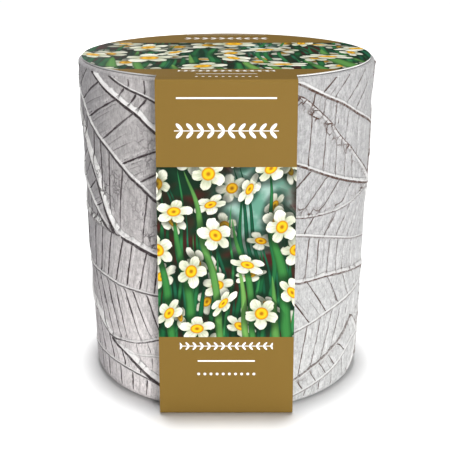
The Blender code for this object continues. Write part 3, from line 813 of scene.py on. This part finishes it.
def wash_shade_and_highlight_lines(g, place, across, uneven):
    """Masks of the brown in the grooves with the painted shade beside ridges, of the painted highlight
    beside the veins, and of what is raised, pale partly as painted highlight.
    """
    shake = g.noise(place, 0.6, 2.0) - 0.5
    margin_stain_and_shade, rib_stain_and_shade, net = g.vector("wash_and_shade")
    vein, painted_vein_highlight = vein_lines(g, place, shake)
    edge, bead = edge_lines(g, shake, margin_stain_and_shade)
    rib, crest = rib_lines(g, shake, rib_stain_and_shade)
    whole = g.step(g.noise(place, 0.75, 2.0), 0.38, 0.58)
    kept = 1.0 - (0.15 + 0.25 * across) * (1.0 - whole)
    vein = vein * (0.78 + 0.22 * uneven)
    # Brown wash in veins and crackle, with the painted shade beside margins and ribs.
    stain_and_shade = g.most(vein, edge * kept, rib * kept, crackle(g, place, shake, net) * uneven)
    return stain_and_shade, painted_vein_highlight, g.most(bead, crest)


def crackle(g, place, shake, net):
    """A net of short brown cracks, on a brown tinge where it is thick."""
    shift = g.join(2.4 * shake, 2.4 * shake, 2.0 * shake)
    bent = g.node("VectorMath", {0: place, 1: shift}, operation="ADD")
    cracks = g.node("TexVoronoi", {"Vector": g.out(bent), "Scale": 0.27}, feature="DISTANCE_TO_EDGE")
    lines = g.step(g.out(cracks, "Distance"), 0.085, 0.035)
    return g.step(net, 0.05, 0.7) * (0.08 * net + 0.92 * lines)


def line_at(g, side, gap, centre, half, reach, core=0.6):
    """A line drawn where a signed distance passes its centre, up to a reach. Half way between two lines
    the signed distance jumps, and there it differs from the plain one, so nothing is drawn. The core is
    the share of its width that is full."""
    off = abs(side - centre)
    steady = g.step(gap - abs(side), 1.5, 1.0)
    return g.step(off, half, half * core) * g.step(gap, reach + 0.3, reach) * steady


def vein_lines(g, place, shake):
    """The dark lines in the veins' grooves, here and there thinner, and a painted highlight to their right.
    """
    side, gap, power = g.vector("vein")
    side = side + 0.3 * shake
    strength = g.step(power, 0.0, 0.5)
    full = g.step(g.noise(place, 0.26, 2.0), 0.34, 0.58)
    dark = line_at(g, side, gap, 0.0, 0.17 + (0.12 + 0.26 * full) * power, 0.75)
    return strength * dark, strength * line_at(g, side, gap, 1.3, 1.5, 2.6)


def edge_lines(g, shake, stain_and_shade):
    """The dark line under a leaf's margin, brown wash and painted shade, which a strength above 1 moves
    outwards as painted shade beside the ridge, and its pale bead, partly painted highlight.
    """
    side, gap, power = g.vector("edge")
    thick = g.least(power, 1.8)
    # Above 1 the dark line moves out to where the ridge's shade shows: painted shade.
    out = 1.6 * g.most(stain_and_shade - 1.0, 0.0)
    centre = out - 0.45 * thick * g.step(out, 0.4, 0.0)
    shade = line_at(g, side + 0.6 * shake, gap, centre, 0.18 + 0.46 * thick, 4.5, 0.7)
    bead = line_at(g, side + 0.5 * shake, gap, -0.2 - 1.15 * power, 1.2 * bead_reach(power), 7.0, 0.75)
    return shade * g.least(stain_and_shade, 1.0), bead * g.least(0.45 + 0.30 * power, 1.0)


def rib_lines(g, shake, stain_and_shade):
    """The dark line on a rib's lower side, brown wash and painted shade, which a strength above 1 moves away
    as painted shade in the corner beyond the rib, and its pale crest, partly painted highlight.
    """
    side, gap, power = g.vector("rib")
    reach = bead_reach(power)
    # Above 1 the dark line moves down into the corner beyond the rib: painted shade.
    out = 1.6 * g.most(stain_and_shade - 1.0, 0.0)
    half = 0.32 + 0.32 * g.least(stain_and_shade, 1.0) + 0.25 * out
    shade = line_at(g, side + 0.4 * shake, gap, -0.3 * reach - out, half, 3.2)
    crest = line_at(g, side + 0.3 * shake, gap, 0.55 * reach, 0.85 * reach, 2.4, 0.75)
    shade = shade * g.step(power, 0.05, 0.3) * g.step(stain_and_shade, 0.0, 0.8)
    return shade, crest * g.least(0.45 + 0.35 * power, 1.0)


# Compost and bulbs


def dress(node, finish):
    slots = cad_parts[node].data.materials
    slots.clear()
    slots.append(finish)


def fibrous_compost():
    """Dark moist fibre with woody bits and pale grains between."""
    g = Graph("fibrous_compost")
    place = g.place()
    clods = g.noise(place, 0.25, 4.0, 0.65)
    swirl = g.noise(place, 0.15, 2.0)
    x, y, z = g.parts(place)
    strands = g.noise(g.join(x + 14.0 * swirl, 0.22 * y, 0.22 * z + 9.0 * swirl), 1.6, 3.0, 0.6)
    strands = g.step(strands, 0.52, 0.66)
    cell = g.node("TexVoronoi", {"Vector": place, "Scale": 0.30})
    pick = g.parts(g.out(cell, "Color"))[0]
    grains = g.step(g.out(cell, "Distance"), 0.34, 0.24) * (pick > 0.86)
    colour = g.mix(g.step(clods, 0.35, 0.65), (0.018, 0.010, 0.006), (0.075, 0.042, 0.022))
    colour = g.mix(0.7 * strands, colour, (0.17, 0.095, 0.045))
    colour = g.mix(grains, colour, (0.62, 0.60, 0.55))
    g.surface(colour, 0.80 + 0.18 * clods)
    g.bump(1.4 * clods + 0.5 * strands + 0.5 * grains, 1.6)
    return g.material


def papery_tunic():
    """Dry brown bulb skin, streaked from the base to the neck, paler where it has flaked and at the tip."""
    g = Graph("papery_tunic")
    x, y, z = g.parts(g.out(g.node("TexCoord"), "Generated"))
    around = g.math("ARCTAN2", y - 0.5, x - 0.5)
    ring = g.join(g.math("COSINE", around), g.math("SINE", around), 0.25 * z)
    streaks = g.noise(ring, 11.0, 4.0, 0.7)
    flaked = g.step(g.noise(ring, 1.9, 3.0, 0.6) + 0.2 * z, 0.62, 0.70)
    colour = g.mix(g.step(streaks, 0.30, 0.70), (0.12, 0.045, 0.016), (0.40, 0.20, 0.075))
    colour = g.mix(0.75 * flaked, colour, (0.62, 0.44, 0.24))
    colour = g.mix(g.step(z, 0.78, 0.97), colour, (0.52, 0.47, 0.26))
    colour = g.mix(g.step(z, 0.10, 0.03), colour, (0.42, 0.33, 0.20))
    g.surface(colour, 0.34 + 0.30 * streaks)
    g.bump(streaks - 0.5 * flaked, 0.5)
    return g.material


def dress_contents():
    dress("compost", fibrous_compost())
    tunic = papery_tunic()
    for number in range(1, 6):
        dress(f"bulb_{number}", tunic)


# Card sleeve


def folded(corners, radii):
    """The (y, z) path from one end through some corners to the other, with a round at each corner."""
    points = []
    for before, corner, after, radius in zip(corners, corners[1:], corners[2:], radii):
        into = (corner - before) / math.dist(corner, before)
        away = (after - corner) / math.dist(after, corner)
        turn = math.acos(into @ away)
        side = (away - into * math.cos(turn)) / math.sin(turn)
        centre = corner - into * radius * math.tan(turn / 2) + side * radius
        for angle in np.linspace(0, turn, FOLD_POINTS):
            points.append(centre + radius * (into * math.sin(angle) - side * math.cos(angle)))
    return points + [corners[-1]]


def strap_half(height):
    """Half the width of the straps, which widen a little towards the foot."""
    return 0.5 * (STRAP_FOOT_WIDTH + (STRAP_TOP_WIDTH - STRAP_FOOT_WIDTH) * height / LID_TOP)


def print_place(panel, x, y, z):
    """Where a point of the card lies in the print: along the picture, and above its lower edge."""
    if panel == "lid":
        return x + PANEL_PITCH, y - LID_PICTURE_FRONT
    if panel == "front":
        return x, z - STRAP_PICTURE_FOOT
    if panel == "back":
        return 2 * PANEL_PITCH - x, z - STRAP_PICTURE_FOOT
    return x + 3 * PANEL_PITCH, -PICTURE_HEIGHT


def sleeve_shape():
    """The points and faces of the card's printed side, and the panel that each face belongs to."""
    high = -SLEEVE_LOW.y
    low = high - (TOP_RADIUS - FOOT_RADIUS)
    end = low + (high - low) * BACK_STRAP_TOP / LID_TOP
    corners = [(0, LID_TOP), (-high, LID_TOP), (-low, 0), (low, 0), (end, BACK_STRAP_TOP)]
    path = folded(np.array(corners, float), FOLD_RADII)
    points = [(side * strap_half(z), y, z) for y, z in path for side in (-1, 1)]
    faces = [(2 * i, 2 * i + 2, 2 * i + 3, 2 * i + 1) for i in range(len(path) - 1)]
    panels = ["front"] * FOLD_POINTS + ["base"] * (2 * FOLD_POINTS - 1) + ["back"]
    shoulder = math.asin(strap_half(LID_TOP) / LID_RADIUS)
    edge = circle(LID_RADIUS, LID_TOP, np.linspace(shoulder, math.tau - shoulder, LID_EDGE_POINTS))
    faces.append((0, 1, *range(len(points), len(points) + len(edge))))
    panels.append("lid")
    return points + list(edge), faces, panels


def make_sleeve():
    """One card: the lid disc, folded down at the front into a strap that goes under the pot and up its
    back, where its end stays free under the lid's edge."""
    points, faces, panels = sleeve_shape()
    sleeve = new_object("card_print", points, faces)
    layer = sleeve.data.uv_layers.new(name="print")
    for face, panel in zip(sleeve.data.polygons, panels):
        for corner in face.loop_indices:
            spot = points[sleeve.data.loops[corner].vertex_index]
            layer.data[corner].uv = print_place(panel, *spot)
    for finish in (printed_card(), bare_board("card_inside"), bare_board("card_edge")):
        sleeve.data.materials.append(finish)
    linings = {"material_offset": 1, "material_offset_rim": 2}
    modify(sleeve, "SOLIDIFY", thickness=CARD * MM, offset=-1, use_even_offset=True, **linings)
    sleeve.data.set_sharp_from_angle(angle=math.radians(35))
    stands_for(sleeve, "card_sleeve")


def bare_board(name):
    g = Graph(name)
    fibre = g.noise(g.place(), 3.0, 3.0)
    g.surface(g.mix(fibre, (0.62, 0.6138, 0.5952), (0.558,) * 3), 0.75)
    g.bump(fibre, 0.03)
    return g.material


def printed_card():
    """Satin card: plain gold, a floral picture on each panel, and white leaf ornaments on the straps."""
    g = Graph("printed_card")
    u, q = g.parts(g.out(g.node("UVMap", uv_map="print")))[:2]
    gold = (0.192, 0.115, 0.0235)
    picture = (q > 0.0) * (q < PICTURE_HEIGHT)
    x = g.math("WRAP", u, -PANEL_PITCH / 2, PANEL_PITCH / 2)
    colour = g.mix(ornaments(g, abs(x), q), gold, (0.86, 0.85, 0.83))
    colour = g.mix(picture, colour, floral_picture(g, u, x, q))
    fibre = g.noise(g.place(), 1.6, 3.0)
    g.surface(colour, 0.50 + 0.15 * fibre, 0.07)
    g.bump(fibre, 0.02)
    return g.material


def ornaments(g, x, q):
    """A mask of the white marks on each panel's gold: garlands, rules and a row of dots."""
    return g.most(
        rule(g, x, q - 109.5, 21.0, 0.35),
        garland(g, x, q - 95.5, 22.0, 4.4, 3.2),
        garland(g, x, q + 4.5, 21.0, 3.2, 1.9),
        rule(g, x, q + 12.0, 13.0, 0.35),
        dots(g, x, q + 18.6, 14.0, 2.8, 0.65),
    )


def rule(g, x, y, half_length, half_width):
    return g.step(abs(y), half_width + 0.1, half_width - 0.1) * (x < half_length)


def dots(g, x, y, half_length, pitch, radius):
    across = (g.math("FRACT", x / pitch) - 0.5) * pitch
    reach = g.math("SQRT", across * across + y * y)
    return g.step(reach, radius + 0.1, radius - 0.1) * (x < half_length)


def garland(g, x, y, half_length, pitch, leaf):
    """A stem with pairs of small leaves that lean away from its middle."""
    cos, sin = math.cos(math.radians(48)), math.sin(math.radians(48))
    across = (g.math("FRACT", x / pitch) - 0.5) * pitch
    up = abs(y) - leaf * 0.52
    long = (across * cos + up * sin) / (leaf * 0.62)
    wide = (up * cos - across * sin) / (leaf * 0.24)
    leaves = g.step(long * long + wide * wide, 1.15, 0.85)
    stem = g.step(abs(y), 0.26, 0.12)
    return g.most(leaves, stem) * (x < half_length)


def floral_picture(g, u, x, q):
    """Blossoms in several layers among blades of green, deeper layers darker and softer. The lid's are
    larger, and its blades end lower."""
    lid = abs(u - PANEL_PITCH) < 100.0
    x, y = (x - HAZE_PLACE[0]) / HAZE_SIZE[0], (q - HAZE_PLACE[1]) / HAZE_SIZE[1]
    scale = 1.0 - LID_PRINT_CUT * lid
    u, q = u * scale, q * scale
    spot = g.join(u, q)
    deep = g.noise(spot, 0.06, 2.0)
    colour = g.mix(g.step(deep, 0.42, 0.58), (0.004, 0.030, 0.012), (0.050, 0.010, 0.008))
    hazy = g.noise(spot, 0.12, 3.0)
    far = g.step(g.math("SQRT", x * x + y * y) + hazy - 0.5, 1.1, 0.45)
    haze = g.mix(g.step(hazy, 0.35, 0.65), (0.12, 0.30, 0.22), (0.36, 0.52, 0.46))
    colour = g.mix(0.9 * far, colour, haze)
    colour = blades(g, colour, u, q, 2.6, 0.06, 3.1, (0.004, 0.05, 0.022), (0.02, 0.19, 0.095))
    colour = blossoms(g, colour, spot, 17.5, 0.25, 1.9, 0.62, 0.14, 0.60 + 0.4 * lid)
    dark, light = (0.006, 0.085, 0.028), (0.045, 0.27, 0.075)
    colour = blades(g, colour, u, q + 16.0 * lid, 3.8, -0.10, 8.7, dark, light)
    colour = blossoms(g, colour, spot, 18.5, 1.05, 5.3, 0.88, 0.06, 0.85 + 0.15 * lid)
    colour = blades(g, colour, u, q + 34.0 * lid, 8.0, 0.10, 5.9, (0.012, 0.16, 0.035), (0.20, 0.40, 0.09))
    colour = blossoms(g, colour, spot, 20.0, 0.62, 7.7, 1.0, 0.03, 0.85 + 0.15 * lid)
    return colour


def blades(g, below, u, q, pitch, lean, seed, dark, light):
    """Upright strap leaves that sway together, each with its own height, width and green."""
    sway = g.noise(g.join(q * 0.6, u * 0.25, seed), 0.03, 1.0) - 0.5
    track = (u + lean * q + 22.0 * sway) / pitch
    cell = g.node("TexVoronoi", {"W": track + seed * 7.3, "Scale": 1.0}, voronoi_dimensions="1D")
    gap = g.out(cell, "Distance")
    tone, tall, thick = g.parts(g.out(cell, "Color"))
    top = 30.0 + 55.0 * tall
    narrow = g.math("SQRT", g.most((top - q) / 30.0, 0.0))
    half = (0.20 + 0.18 * thick) * g.least(narrow, 1.0)
    body = g.step(gap, half, half - 0.06)
    shine = g.step(gap, half, half * 0.2)
    grain = g.noise(g.join(track * 14.0, q * 0.05, seed), 1.0, 2.0)
    green = g.mix(tone * (0.6 + 0.8 * (grain - 0.3)), dark, light)
    green = g.mix(0.6 * (1 - shine), green, (0.0, 0.016, 0.005))
    return g.mix(body, below, green)


def blossoms(g, below, spot, pitch, turn, shift, bright, soft, share):
    """One layer of five-petalled white blossoms with yellow eyes, scattered and facing all ways."""
    petals, size = 5, 0.42
    mapping = {"Location": (shift, shift * 0.7, 0), "Rotation": (0, 0, turn), "Scale": (1 / pitch,) * 3}
    where = g.out(g.node("Mapping", {"Vector": spot, **mapping}))
    cells = {"Vector": where, "Scale": 1.0, "Randomness": 0.32}
    cell = g.node("TexVoronoi", cells, voronoi_dimensions="2D")
    r1, r2, r3 = g.parts(g.out(cell, "Color"))
    local = g.node("VectorMath", {0: where, 1: g.out(cell, "Position")}, operation="SUBTRACT")
    turned_by = {"Vector": g.out(local), "Angle": r1 * math.tau}
    x, y = g.parts(g.out(g.node("VectorRotate", turned_by, rotation_type="Z_AXIS")))[:2]
    x = x / (0.42 + 0.58 * r2)
    ruffle = g.noise(where, 9.0, 2.0) - 0.5
    reach = g.math("SQRT", x * x + y * y) / size
    around = (g.math("ARCTAN2", y, x) / math.tau + r3) * petals + 0.25 * ruffle
    number = g.math("FLOOR", around + 10.0)
    seam = abs(g.math("FRACT", around) - 0.5) * 2.0
    each = {"W": g.math("MODULO", number, 5.0) + r1 * 37.0}
    tone = g.out(g.node("TexWhiteNoise", each, noise_dimensions="1D"))
    rim = (0.88 + 0.18 * tone) - 0.46 * g.math("POWER", seam, 2.0) + 0.16 * ruffle
    shown = g.math("FRACT", r3 * 7.13) < share
    shape = g.step(reach, rim, rim - soft) * shown
    folds = g.noise(g.join(around * 8.0, reach * 1.5, number), 1.0, 3.0)
    white = petal_white(g, reach, seam, tone, folds)
    flower = g.mix(g.step(reach, 0.39, 0.34), white, yellow_eye(g, reach))
    flower = g.mix(1.0, flower, (bright,) * 3, "MULTIPLY")
    shadow = 0.75 * g.step(reach, 1.4, 0.85) * shown
    return g.mix(shape, g.mix(shadow, below, (0.003, 0.014, 0.006)), flower)


def petal_white(g, reach, seam, tone, folds):
    """White that darkens to green in the folds, between petals and towards the eye."""
    light = 0.48 + 0.34 * tone + 0.95 * (folds - 0.42)
    light = light * (1.0 - 0.6 * g.step(seam, 0.62, 1.0) * g.step(reach, 0.2, 0.6))
    light = light * (0.62 + 0.38 * g.step(reach, 0.35, 0.8))
    return g.mix(light, (0.17, 0.22, 0.06), (0.93, 0.92, 0.80))


def yellow_eye(g, reach):
    eye = g.mix(g.step(reach, 0.03, 0.20), (0.34, 0.13, 0.004), (0.90, 0.50, 0.012))
    return g.mix(g.step(reach, 0.22, 0.33), eye, (0.50, 0.22, 0.005))


# Studio


def make_floor():
    corners = [(FLOOR_HALF * x, FLOOR_HALF * y, 0) for x, y in ((-1, -1), (1, -1), (1, 1), (-1, 1))]
    floor = new_object("floor", corners, [(0, 1, 2, 3)])
    g = Graph("white_floor")
    g.surface((0.93, 0.93, 0.93), 0.9, 0.0)
    floor.data.materials.append(g.material)
    floor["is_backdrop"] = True


def make_light(name, kind, place, power, size):
    """A soft light that faces the pot: a square with its size in metres, or a sun with it in degrees."""
    light = bpy.data.lights.new(name, kind)
    if kind == "SUN":
        light.angle = math.radians(size)
    else:
        light.size = size
    light.energy = power
    made = linked(name, light)
    made.location = place
    made.rotation_euler = (LIGHT_AIM - made.location).to_track_quat("-Z", "Y").to_euler()


def make_lights():
    make_light("overhead", "SUN", (0.0, 0.04, 1.2), 3.1, 8.0)
    make_light("front", "AREA", (0.40, -1.25, 0.12), 18.0, 0.4)
    make_light("right", "AREA", (1.29, -0.23, 0.12), 8.5, 0.5)
    make_light("back", "AREA", (-0.52, 1.24, 0.12), 10.0, 0.6)
    world = bpy.data.worlds.new("studio")
    world.use_nodes = True
    background = world.node_tree.nodes["Background"]
    background.inputs["Color"].default_value = (1.0, 1.0, 1.0, 1.0)
    background.inputs["Strength"].default_value = 0.12
    bpy.context.scene.world = world


def make_camera():
    """The photograph's camera, fitted to the pot's outline."""
    camera = bpy.data.cameras.new("camera")
    camera.lens = CAMERA_LENS
    camera.sensor_width = SENSOR
    made = linked("camera", camera)
    lift = math.radians(CAMERA_ELEVATION)
    back = Vector((0, -math.cos(lift), math.sin(lift)))
    made.location = (Vector(CAMERA_TARGET) + CAMERA_DISTANCE * back) * MM
    made.rotation_euler = (-back).to_track_quat("-Z", "Y").to_euler()
    scene = bpy.context.scene
    scene.camera = made
    scene.view_settings.view_transform = "Standard"
    scene.view_settings.look = "None"


def write_sizes():
    boxes = {"cad": CAD_BOX, "visual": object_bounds()}
    {name: [list(corner) for corner in box] for name, box in boxes.items()}


make_pot()
dress_contents()
make_sleeve()
make_floor()
make_lights()
make_camera()
write_sizes()
